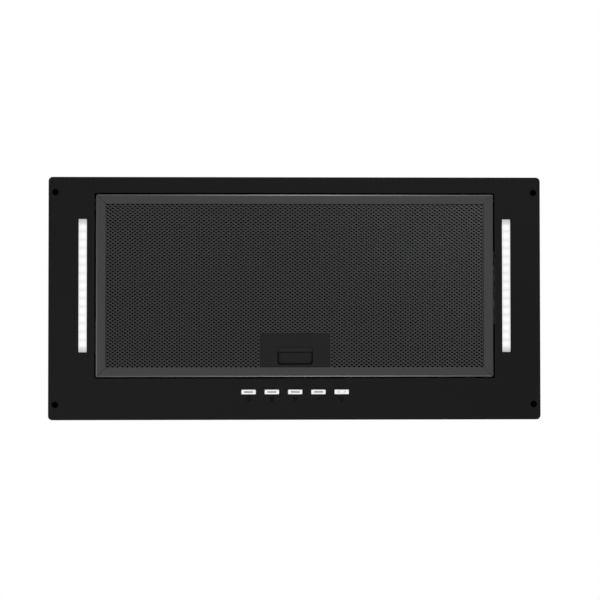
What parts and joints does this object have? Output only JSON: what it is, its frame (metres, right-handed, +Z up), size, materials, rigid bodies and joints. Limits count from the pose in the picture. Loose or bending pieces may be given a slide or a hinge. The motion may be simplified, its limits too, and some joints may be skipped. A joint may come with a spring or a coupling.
{
  "type": "range hood",
  "caption": "Built-in undermount range hood: black face panel with drop-down mesh grease filter, light strips, press keys, blower box and round duct spigot with damper flaps.",
  "frame": {"origin": "middle of the four panel screws, in the plane of the cabinet's underside", "axes": "+X along the panel's length to the right, +Y to the wall behind, +Z up into the cabinet"},
  "size_m": [0.525, 0.259, 0.2646],
  "materials": {
    "panel_black": "satin black powder coat",
    "filter_rail": "dark anodised, satin",
    "filter_mesh": "dark anodised expanded foil",
    "filter_media": "crimped foil layers, dark",
    "latch_black": "moulded, fine texture",
    "key_white": "moulded, semi-gloss",
    "lens_white": "opal diffuser",
    "galvanised": "galvanised sheet",
    "fastener": "zinc plated",
    "spigot_black": "moulded",
    "blower_plastic": "moulded",
    "impeller_grey": "moulded",
    "motor_steel": "zinc plated pressing",
    "shaft_steel": "ground",
    "core_steel": "laminated",
    "copper": "enamelled wire",
    "bronze": "sintered",
    "bush_rubber": "moulded",
    "spring_steel": "drawn wire",
    "board_green": "solder mask",
    "box_grey": "moulded",
    "box_white": "moulded",
    "gland_black": "moulded",
    "lead_sheath": "insulated lead"
  },
  "bodies": {
    "chassis": {"face_panel": "panel_black", "body_left": "galvanised", "body_right": "galvanised", "body_front": "galvanised", "body_rear": "galvanised", "top_cover": "galvanised", "corner_rivets": "fastener", "screws_and_nuts": "fastener", "scroll_left": "blower_plastic", "scroll_right": "blower_plastic", "stator_core": "core_steel", "stator_windings": "copper", "motor_shell_inner": "motor_steel", "motor_shell_outer": "motor_steel", "motor_bearings": "bronze", "motor_bracket": "motor_steel", "motor_bushes": "bush_rubber", "duct_spigot": "spigot_black", "damper_pins": "shaft_steel", "pivot_plates": "panel_black", "latch_keeper": "panel_black", "light_lenses": "lens_white", "light_trays": "box_white", "light_boards": "board_green", "key_springs": "spring_steel", "switch_housing": "gland_black", "control_board": "board_green", "control_cover": "gland_black", "capacitor": "box_white", "capacitor_clamp": "motor_steel", "light_driver": "box_white", "terminal_box": "box_grey", "terminal_block": "box_white", "cable_gland": "gland_black", "lead_clips": "box_white", "internal_leads": "lead_sheath"},
    "filter": {"filter_rail_front": "filter_rail", "filter_rail_right": "filter_rail", "filter_rail_rear": "filter_rail", "filter_rail_left": "filter_rail", "filter_front_mesh": "filter_mesh", "filter_media": "filter_media", "filter_rear_mesh": "filter_mesh", "filter_pivot_pins": "panel_black", "latch_housing": "latch_black", "latch_cover": "latch_black", "latch_spring": "spring_steel"},
    "filter_latch": {"latch_slider": "latch_black"},
    "fan_rotor": {"impeller_disc": "impeller_grey", "impeller_blades": "impeller_grey", "impeller_nut": "fastener", "motor_shaft": "shaft_steel", "rotor_core": "core_steel"},
    "damper_front": {"damper_flap_front": "spigot_black"},
    "damper_rear": {"damper_flap_rear": "spigot_black"},
    "key_light": {"key_light": "key_white"},
    "key_speed_1": {"key_speed_1": "key_white"},
    "key_speed_2": {"key_speed_2": "key_white"},
    "key_speed_3": {"key_speed_3": "key_white"},
    "key_power": {"key_power": "key_white"}
  },
  "joints": [
    {"name": "filter_drop", "type": "hinge", "parent": "chassis", "child": "filter", "pos_m": [0, 0.1047, -0.0035], "axis": [1, 0, 0], "range_deg": [0, 75]},
    {"name": "latch_slide", "type": "slide", "parent": "filter", "child": "filter_latch", "axis": [0, 1, 0], "range_m": [0, 0.0055], "stiffness_N_per_m": 250, "springref_m": -0.004, "deforming": ["latch_spring"]},
    {"name": "fan_spin", "type": "hinge", "parent": "chassis", "child": "fan_rotor", "pos_m": [0, -0.012, 0.113], "axis": [1, 0, 0], "continuous": true},
    {"name": "damper_front_lift", "type": "hinge", "parent": "chassis", "child": "damper_front", "pos_m": [0, 0.0375, 0.19815], "axis": [-1, 0, 0], "range_deg": [0, 80]},
    {"name": "damper_rear_lift", "type": "hinge", "parent": "chassis", "child": "damper_rear", "pos_m": [0, 0.0485, 0.19815], "axis": [1, 0, 0], "range_deg": [0, 80]},
    {"name": "key_light_press", "type": "slide", "parent": "chassis", "child": "key_light", "axis": [0, 0, 1], "range_m": [0, 0.0015], "stiffness_N_per_m": 400, "springref_m": -0.002, "deforming": ["key_springs"]},
    {"name": "key_speed_1_press", "type": "slide", "parent": "chassis", "child": "key_speed_1", "axis": [0, 0, 1], "range_m": [0, 0.0015], "stiffness_N_per_m": 400, "springref_m": -0.002, "deforming": ["key_springs"]},
    {"name": "key_speed_2_press", "type": "slide", "parent": "chassis", "child": "key_speed_2", "axis": [0, 0, 1], "range_m": [0, 0.0015], "stiffness_N_per_m": 400, "springref_m": -0.002, "deforming": ["key_springs"]},
    {"name": "key_speed_3_press", "type": "slide", "parent": "chassis", "child": "key_speed_3", "axis": [0, 0, 1], "range_m": [0, 0.0015], "stiffness_N_per_m": 400, "springref_m": -0.002, "deforming": ["key_springs"]},
    {"name": "key_power_press", "type": "slide", "parent": "chassis", "child": "key_power", "axis": [0, 0, 1], "range_m": [0, 0.0015], "stiffness_N_per_m": 400, "springref_m": -0.002, "deforming": ["key_springs"]}
  ]
}
